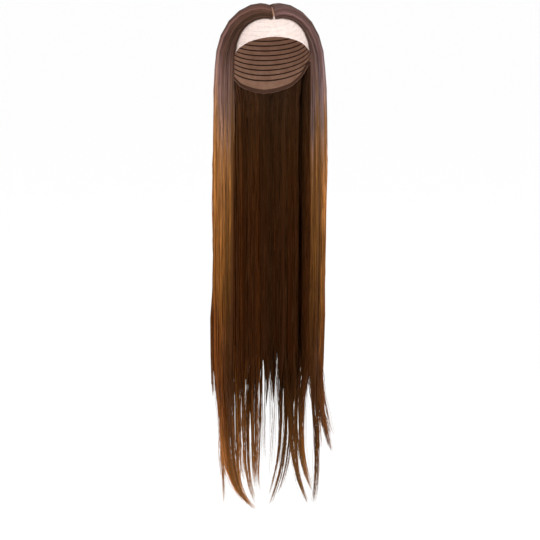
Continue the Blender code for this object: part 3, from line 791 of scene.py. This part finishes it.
def make_strands(curtain, count, outer, roots, mat, seed):
    """All strands of one curtain in one mesh, each with its own colour."""
    rng = np.random.default_rng(seed)
    sets = []
    for lock in curtain.locks:
        face = 0.30 if roots and lock is curtain.locks[0] else 0.0
        sets.append(clumped(curtain, lock, int(round(count * lock["half"] * 2)), outer, face, rng))
    spans = [(len(s["p"]), STRAND_RADIUS) for s in sets]
    if curtain.name == "front_hair_left":
        sets.append(outer_wisp(curtain, curtain.locks[2], WISP, rng))
        spans.append((WISP, STRAND_RADIUS))
    if roots:
        sets.append(root_hairs(curtain, roots, rng))
        spans.append((roots, ROOT_RADIUS))
    p = np.concatenate([s["p"] for s in sets])
    n, m, _ = p.shape
    v, u = (np.concatenate([np.broadcast_to(s[k], s["p"].shape[:2]) for s in sets]) for k in ("v", "u"))
    keys = ("shade", "ahead", "crown", "place")
    shade, ahead, crown, place = (np.concatenate([s[k] for s in sets]) for k in keys)
    radii = np.concatenate([np.broadcast_to(r, (k, m)) for k, r in spans])
    radii = radii * np.exp(rng.normal(0, 0.15, n))[:, None]
    verts, faces = tubes(p, radii, rng.uniform(0, 6.3, n))
    front = curtain.name.startswith("front")
    lag = INNER_LAG * (1.0 - smooth(u * 1.3)) if front else 0.0
    height = p[..., 2] + lag - ahead[:, None]
    depth = np.clip(v, 0, 1)
    if front:
        # painted light: the face edge of a front curtain takes less of the inside's painted shade
        depth = depth + (1.0 - depth) * 0.6 * (1.0 - smooth(u / 0.10))
    elif curtain.name == "nape_hair":
        # the nape hangs inside the curtains and takes most of the inside's painted shade
        depth = depth * 0.35
    col = hair_colour(height, depth, curtain.side if front else 0) * np.exp(shade)[:, None, None]
    # painted light: brighter hair by place across the front curtains, and evenly on the back and nape, laid
    # on the outer hair below the crown
    painted_light = table(PAINTED_LIGHT_ACROSS, u, 1 if curtain.side < 0 else 2) if front else np.full(u.shape, BACK_PAINTED_LIGHT)
    painted_light_share = smooth((-p[..., 2] - 0.06) / 0.06) * depth
    if curtain.name.startswith("back"):
        # on the backs, painted light also lifts the inner hair near their front edge out of shade
        painted_light_share = painted_light_share + (1.0 - depth) * 2.4 * (1.0 - smooth(u / 0.30))
    col = col * (1.0 + (painted_light - 1.0) * painted_light_share)[..., None]
    if front:
        face = 1.0 - smooth((u - 0.06) / 0.16)
        gain = 1.0 - FACE_FALL * face * smooth((-p[..., 2] - 0.40) / 0.15)
        # painted sheen: soft bands of painted highlight across the front curtains
        for at, width, on_face, outside in PAINTED_SHEEN[curtain.side]:
            band = np.exp(-((-p[..., 2] - at) / width) ** 2)
            gain = gain + band * (on_face * face + outside * (1.0 - face))
        grey = (col @ np.array([0.3, 0.5, 0.2]))[..., None]
        paler = PALER * np.clip((painted_light - 1.0) * painted_light_share, 0, 1)[..., None]
        col = (col + (grey - col) * paler) * gain[..., None]
        # painted shade at the hairline: the face edge of the hair darker near the top
        hairline_painted_shade = (1.0 - smooth(u / 0.16)) * (1.0 - smooth((-p[..., 2] - 0.03) / 0.08))
        col = col * (1.0 - 0.42 * hairline_painted_shade)[..., None]
    if not front:
        # painted light and shade on the inner hair: lighter on the left, darker on the right
        lit = INSIDE_LIT[0] + (INSIDE_LIT[1] - INSIDE_LIT[0]) * smooth((p[..., 0] + 0.020) / 0.040)
        col = col * (1.0 + (lit - 1.0) * (1.0 - depth))[..., None]
    col = col * np.exp(crown[:, None] * smooth((0.13 + p[..., 2]) / 0.08))[..., None]
    warm = rng.normal(0, 1, n)[:, None]
    col = col * (1.0 + warm[..., None] * np.array([0.03, 0.0, -0.07]))
    tint = np.repeat(np.clip(col, 0, 1).reshape(-1, 3), 3, axis=0)
    across = (np.arange(n)[:, None, None] + 0.2 + 0.3 * np.arange(3)[None, None, :]) / n
    down = np.linspace(0, 1, m)[None, :, None]
    uv = np.stack([np.broadcast_to(across, (n, m, 3)), np.broadcast_to(down, (n, m, 3))], -1)
    run = np.concatenate([np.zeros((n, 1)), np.cumsum(np.linalg.norm(np.diff(p, axis=1), axis=2), 1)], 1)
    flow = np.stack([np.broadcast_to(place[:, None], (n, m)), run, np.zeros((n, m))], -1)
    flow = np.repeat(flow.reshape(-1, 3), 3, axis=0)
    return mesh_object(
        curtain.name + "_strands", verts, faces, [mat], tint=tint, uv=uv.reshape(-1, 2), flow=flow,
    )


def make_body(curtain, mat):
    """The hair's mass under the strands: locks joined down to the split and free below."""
    ring_a = np.concatenate([np.linspace(-1, 1, 9), np.linspace(1, -1, 5)])
    ring_v = np.concatenate([np.full(9, 0.90), np.full(5, 0.12)])
    head, hang = HEAD_AT, HANG_AT
    down = np.array([0.1, 0.3, 0.5, 0.75, 1.0])
    verts, quads, tris, tints, flows = [], [], [], [], []
    base, k = 0, len(ring_a)
    for index, lock in enumerate(curtain.locks):
        squeeze = np.where(np.abs(ring_a) == 1, 0.985, 1.0)
        middle, ends = sum(lock["notches"]) / 2, -DROP * (lock["cut"] - 0.03)
        tip = down * max(0.04, (ends - middle) / (lock["end"] - middle))
        p = curtain.strands(lock, ring_a * squeeze, ring_v, head, hang, tip)
        heart = curtain.strands(lock, np.array([0.0]), np.array([0.5]), head, hang, tip)
        narrow = np.clip((ends + MASS_TAPER - p[..., 2:]) / MASS_TAPER, 0.0, 1.0)
        p[..., :2] += (heart - p)[..., :2] * 0.92 * narrow**1.25
        p = p.transpose(1, 0, 2)
        rows = len(p)
        verts.append(p.reshape(-1, 3))
        ids = base + np.arange(rows)[:, None] * k + np.arange(k)[None, :]
        nxt = np.roll(ids, -1, axis=1)
        quads.append(np.stack([ids[:-1], ids[1:], nxt[1:], nxt[:-1]], -1).reshape(-1, 4))
        for row, flip in ((0, False), (rows - 1, True)):
            ring = ids[row]
            fan = np.stack([np.full(k - 2, ring[0]), ring[1:-1], ring[2:]], -1)
            tris.append(fan[:, ::-1] if flip else fan)
        v = np.broadcast_to(ring_v[None, :], (rows, k))
        tints.append((hair_colour(p[..., 2], v) * 0.7).reshape(-1, 3))
        width = (ring_a + 1.0 + 2.0 * index) * 26.0
        flow = np.stack([np.broadcast_to(width[None, :], (rows, k)), p[..., 2] * 5.0, v * 9.0], -1)
        flows.append(flow.reshape(-1, 3))
        base += rows * k
    return mesh_object(
        curtain.name + "_mass", np.concatenate(verts), [np.concatenate(quads), np.concatenate(tris)],
        [mat], tint=np.concatenate(tints), flow=np.concatenate(flows),
    )


# Cap and lace
UP = unit(np.array([0.0, LACE_REACH, CROWN * (1.0 - (LACE_REACH / HALF_D) ** SQUARE) ** (1.0 / SQUARE)]))
SIDE = np.array([1.0, 0.0, 0.0])
AHEAD = -np.cross(UP, SIDE)
MID_RADIUS = 0.095  # of the head, for lengths on the cap
GROUND_ROWS, GROUND_COLUMNS = 26, 91
CAP_ROWS, CAP_COLUMNS = 28, 97
POLE = 0.003  # how near the grids start to the ends of the seam, as a share of the reach
MARGIN_DEPTH = 0.055  # how deep the net reaches in from the free edge
WEFTS, FIRST_WEFT, WEFT_STEP = 13, 24.0, 5.4  # rows of weft, and their reach in degrees


def cap_point(turn, reach, offset, half):
    """Points of the cap at turns and reaches in degrees; half is -1 for the lace, 1 for the net."""
    t, r = np.radians(turn)[..., None], np.radians(reach)[..., None]
    away = AHEAD * np.cos(t) + SIDE * np.sin(t)
    d = UP * np.cos(r) + away * np.sin(r) - AHEAD * half * SEAM_GAP / (2 * HALF_W)
    return head_surface(d, np.broadcast_to(offset, d.shape[:-1]))[0]


def cap_edge(turn):
    """The reach of the cap's free edge at a turn."""
    return table(CAP_EDGE, np.abs((turn + 180.0) % 360.0 - 180.0))


def hairline():
    """Turn and reach of the front edge of the hair, for turns of -90 to 90."""
    path = CURTAINS["front_hair_right"].on_head(np.array([0.0]), np.linspace(0, 1, 60)[None, :])[0][0]
    d = unit(path + np.array([0, 0, CROWN]))
    turn = np.degrees(np.arctan2(d @ SIDE, d @ AHEAD))
    reach = np.degrees(np.arccos(d @ UP))
    return turn, reach


def cloth_attribute(turn, reach):
    """Place on the cloth in millimetres, for weave patterns."""
    r = np.radians(reach)
    x = 1000.0 * MID_RADIUS * np.sin(r) * np.radians(turn)
    return np.stack([x, 1000.0 * MID_RADIUS * r, np.zeros_like(x)], -1)


def grid_faces(rows, columns, base=0):
    """The quads of a grid of vertices."""
    ids = base + np.arange(rows)[:, None] * columns + np.arange(columns)[None, :]
    return np.stack([ids[:-1, :-1], ids[1:, :-1], ids[1:, 1:], ids[:-1, 1:]], -1).reshape(-1, 4)


def make_lace(net_mat, ground_mat):
    """The lace: an open net in front of the hairline, and knotted ground under the hair."""
    line_turn, line_reach = hairline()
    pitch, thread = 0.00115, 0.56
    # the ground
    turns = np.linspace(-90, 90, GROUND_COLUMNS)
    edge = cap_edge(turns)
    stop = np.interp(np.abs(turns), line_turn, line_reach - 1.2, right=200.0)
    stop = np.minimum(edge, stop)
    share = np.linspace(POLE, 1, GROUND_ROWS)
    turn = np.broadcast_to(turns[None, :], (GROUND_ROWS, GROUND_COLUMNS))
    reach = share[:, None] * stop[None, :]
    verts = [cap_point(turn, reach, LACE_WALL * 0.5, -1).reshape(-1, 3)]
    cloth = [cloth_attribute(turn, reach).reshape(-1, 3)]
    quads = [grid_faces(GROUND_ROWS, GROUND_COLUMNS)]
    # the net: cells of a lattice laid from the free edge inwards
    columns = int(math.radians(180) * MID_RADIUS / pitch)
    rows = int(MARGIN_DEPTH / (pitch * math.sqrt(3) / 2))
    c, r = np.meshgrid(np.arange(columns), np.arange(rows))
    x = (c + 0.5 * (r % 2)) * pitch - columns * pitch / 2
    y = (r + 0.6) * pitch * math.sqrt(3) / 2
    corner = np.radians(60 * np.arange(6) + 30)
    size = pitch / math.sqrt(3) * (1.0 - thread)
    hx = x[..., None] + size * np.cos(corner)
    hy = y[..., None] + size * np.sin(corner)
    cell_turn = np.degrees(x / MID_RADIUS)
    depth = np.degrees(y / MID_RADIUS)
    under_hair = np.interp(np.abs(cell_turn), line_turn, line_reach - 5.0, right=200.0)
    inside = cap_edge(cell_turn) - depth > under_hair
    ht = np.degrees(hx / MID_RADIUS)
    hr = cap_edge(ht) - np.degrees(hy / MID_RADIUS)
    rng = np.random.default_rng(5)
    ht = ht + np.degrees(rng.normal(0, 0.15 * pitch, ht.shape) / MID_RADIUS)
    hr = hr + np.degrees(rng.normal(0, 0.15 * pitch, hr.shape) / MID_RADIUS)
    ids = np.full((rows, columns, 6), -1)
    base = sum(len(v) for v in verts)
    ids[inside] = base + np.arange(inside.sum() * 6).reshape(-1, 6)
    verts.append(cap_point(ht[inside], hr[inside], LACE_WALL * 0.5, -1).reshape(-1, 3))
    cloth.append(cloth_attribute(ht[inside], hr[inside]).reshape(-1, 3))
    links, joints = [], []
    for i in range(rows - 1):
        odd = i % 2
        for j in range(columns):
            here = ids[i, j]
            if here[0] < 0:
                continue
            right = ids[i, j + 1] if j + 1 < columns else here * 0 - 1
            up_r = ids[i + 1, j + odd] if j + odd < columns else here * 0 - 1
            up_l = ids[i + 1, j - 1 + odd] if j - 1 + odd >= 0 else here * 0 - 1
            # corners run 0 at 30 degrees, 1 at 90, 2 at 150, 3 at 210, 4 at 270, 5 at 330
            if right[0] >= 0:
                links.append((here[5], right[3], right[2], here[0]))
            if up_r[0] >= 0:
                links.append((here[0], up_r[4], up_r[3], here[1]))
            if up_l[0] >= 0:
                links.append((here[1], up_l[5], up_l[4], here[2]))
            if right[0] >= 0 and up_r[0] >= 0:
                joints.append((here[0], right[2], up_r[4]))
            if up_r[0] >= 0 and up_l[0] >= 0:
                joints.append((here[1], up_r[3], up_l[5]))
    quads.append(np.array(links))
    faces = [np.concatenate(quads), np.array(joints)]
    which = np.concatenate([np.ones(len(quads[0])), np.zeros(len(links) + len(joints))])
    return mesh_object("lace_panel", np.concatenate(verts), faces, [net_mat, ground_mat],
                       which=which, cloth=np.concatenate(cloth))


def make_cap(mat):
    """The rear half of the cap: a shell of net."""
    rows, columns = CAP_ROWS, CAP_COLUMNS
    turns = np.linspace(90, 270, columns)
    share = np.linspace(POLE, 1, rows)
    turn = np.broadcast_to(turns[None, :], (rows, columns))
    reach = share[:, None] * cap_edge(turns)[None, :]
    verts, cloth, quads = [], [], []
    for index, offset in enumerate((0.0, CAP_WALL)):
        verts.append(cap_point(turn, reach, offset, 1).reshape(-1, 3))
        cloth.append(cloth_attribute(turn - 180.0, reach).reshape(-1, 3))
        faces = grid_faces(rows, columns, index * rows * columns)
        quads.append(faces if index else faces[:, ::-1])
    # the rim that closes the shell, all the way round
    ids = np.arange(rows * columns).reshape(rows, columns)
    rim = np.concatenate([ids[:, 0], ids[-1, 1:], ids[-2::-1, -1], ids[0, -2:0:-1]])
    nxt = np.roll(rim, -1)
    outer = rows * columns
    quads.append(np.stack([rim, nxt, nxt + outer, rim + outer], -1))
    faces = [np.concatenate(quads)]
    return mesh_object("cap_shell", np.concatenate(verts), faces, [mat], cloth=np.concatenate(cloth))


def tape(turns, reaches, half, width, proud, inner, rows=5):
    """A flat band that lies on the cap along a line of turns and reaches: (verts, quads, cloth)."""
    across = np.linspace(-0.5, 0.5, rows)
    lift = proud * (1.0 - (2 * across) ** 4)
    turn = np.broadcast_to(turns[:, None], (len(turns), rows))
    reach = reaches[:, None] + np.degrees(across * width / MID_RADIUS)[None, :]
    offset = np.broadcast_to((-0.0001 - lift) if inner else (CAP_WALL + 0.0001 + lift), turn.shape)
    verts = cap_point(turn, reach, offset, half).reshape(-1, 3)
    step = np.linalg.norm(np.diff(verts.reshape(len(turns), rows, 3)[:, rows // 2], axis=0), axis=1)
    run = np.concatenate([[0], np.cumsum(step)]) * 1000
    cloth = np.stack(np.broadcast_arrays(run[:, None], across[None, :] * width * 1000, 0.0), -1)
    cloth = cloth.reshape(-1, 3)
    return verts, grid_faces(len(turns), rows), cloth


def joined(parts):
    """Several bands as one set of vertices, faces and cloth places."""
    verts, faces, cloth, base = [], [], [], 0
    for v, f, c in parts:
        verts.append(v)
        faces.append(f + base)
        cloth.append(c)
        base += len(v)
    return np.concatenate(verts), [np.concatenate(faces)], np.concatenate(cloth)


def make_wefts(mat):
    """The rows of weft that the rear hair hangs from, sewn inside the net."""
    parts = []
    for k in range(WEFTS):
        reach = FIRST_WEFT + WEFT_STEP * k
        turns = np.linspace(93, 267, 80)
        fits = cap_edge(turns) > reach + 4.5
        if fits.sum() > 6:
            turns = turns[fits] if fits.all() else np.linspace(turns[fits][0], turns[fits][-1], 80)
            reaches = np.minimum(reach, cap_edge(turns) - 4.5)
            parts.append(tape(turns, reaches, 1, 0.0024, 0.0005, True))
    verts, faces, cloth = joined(parts)
    return mesh_object("cap_wefts", verts, faces, [mat], cloth=cloth)


def make_binding(mat):
    """The tape that binds the net's free edge, inside and out."""
    turns = np.linspace(90.5, 269.5, 130)
    reach = cap_edge(turns) - 1.9
    parts = [tape(turns, reach, 1, 0.0060, 0.0004, inner) for inner in (True, False)]
    verts, faces, cloth = joined(parts)
    return mesh_object("cap_binding", verts, faces, [mat], cloth=cloth)


strand_mat, mass_mat = strand_material(), mass_material()
# strands, share of them on the outside, hairs at the hairline
AMOUNTS = {
    "front_hair_left": (1290, 0.70, 100), "front_hair_right": (1290, 0.70, 100),
    "back_hair_left": (1150, 0.66, 0), "back_hair_right": (1150, 0.66, 0),
    "nape_hair": (860, 0.25, 0),
}


def keep(ob, node, slot):
    """Ties a piece to the root body and hides the node that it replaces; the slot is not used."""
    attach(ob, "root")
    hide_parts(node)


for seed, (name, curtain) in enumerate(CURTAINS.items()):
    count, outer, roots = AMOUNTS[name]
    slot = "front_hair" if name.startswith("front") else "back_hair"
    keep(make_body(curtain, mass_mat), name, slot)
    keep(make_strands(curtain, count, outer, roots, strand_mat, 11 + seed), name, slot)
lace = make_lace(net_material(), ground_material())
keep(lace, "lace_front", "sheer_lace")
cap = make_cap(cap_material())
keep(cap, "wig_cap", "cap_net")
keep(make_wefts(tape_material("weft_thread", (38, 24, 18), (92, 60, 44), 0.5, 0.6)), "wig_cap", "cap_net")
keep(make_binding(tape_material("cap_tape", (78, 52, 40), (140, 100, 80), 0.45, 0.5)), "wig_cap", "cap_net")


# Stage
FLOOR, FLOOR_HALF = -1.46, 60.0
CAMERA_AWAY, CAMERA_HEIGHT, CAMERA_TURN = 3.2, 0.10, math.radians(-6.0)
CAMERA_AIM = (0.0, 0.0, -0.495)
SENSOR, FOCAL_SHARE = 36.0, 1711 / 540  # the focal length as a share of the sensor's width


def stage_plane():
    """A plain pale floor, well below the ends."""
    s = FLOOR_HALF
    me = bpy.data.meshes.new("floor")
    corners = [(-s, -s, FLOOR), (s, -s, FLOOR), (s, s, FLOOR), (-s, s, FLOOR)]
    me.from_pydata(corners, [], [(0, 1, 2, 3)])
    floor = bpy.data.objects.new("floor", me)
    bpy.context.scene.collection.objects.link(floor)
    n = Nodes("pale_floor", 0.9, 0.2)
    n.shader.inputs["Base Color"].default_value = (0.94, 0.94, 0.94, 1)
    me.materials.append(n.material)


def area_light(name, place, aim, size, power):
    """A soft rectangular light."""
    light = bpy.data.lights.new(name, "AREA")
    light.shape = "RECTANGLE"
    light.size, light.size_y = size
    light.energy = power
    ob = bpy.data.objects.new(name, light)
    ob.location = place
    ob.rotation_euler = (Vector(aim) - Vector(place)).to_track_quat("-Z", "Y").to_euler()
    bpy.context.scene.collection.objects.link(ob)


stage_plane()
world = bpy.data.worlds.new("studio")
world.use_nodes = True
world.node_tree.nodes["Background"].inputs["Color"].default_value = (1, 1, 1, 1)
world.node_tree.nodes["Background"].inputs["Strength"].default_value = 1.05
bpy.context.scene.world = world
area_light("key", (-0.9, -2.6, 1.5), (0, 0, -0.35), (1.2, 1.2), 40)
area_light("fill", (1.6, -2.0, 0.2), (0, 0, -0.4), (1.2, 1.8), 18)
bpy.context.scene.view_settings.view_transform = "Standard"

camera = bpy.data.cameras.new("camera")
camera.sensor_width = SENSOR
camera.lens = SENSOR * FOCAL_SHARE
camera.clip_end = 200.0
cam = bpy.data.objects.new("camera", camera)
bpy.context.scene.collection.objects.link(cam)
cam.location = (
    CAMERA_AWAY * math.sin(CAMERA_TURN), -CAMERA_AWAY * math.cos(CAMERA_TURN), CAMERA_HEIGHT,
)
cam.rotation_euler = (Vector(CAMERA_AIM) - cam.location).to_track_quat("-Z", "Y").to_euler()
bpy.context.scene.camera = cam
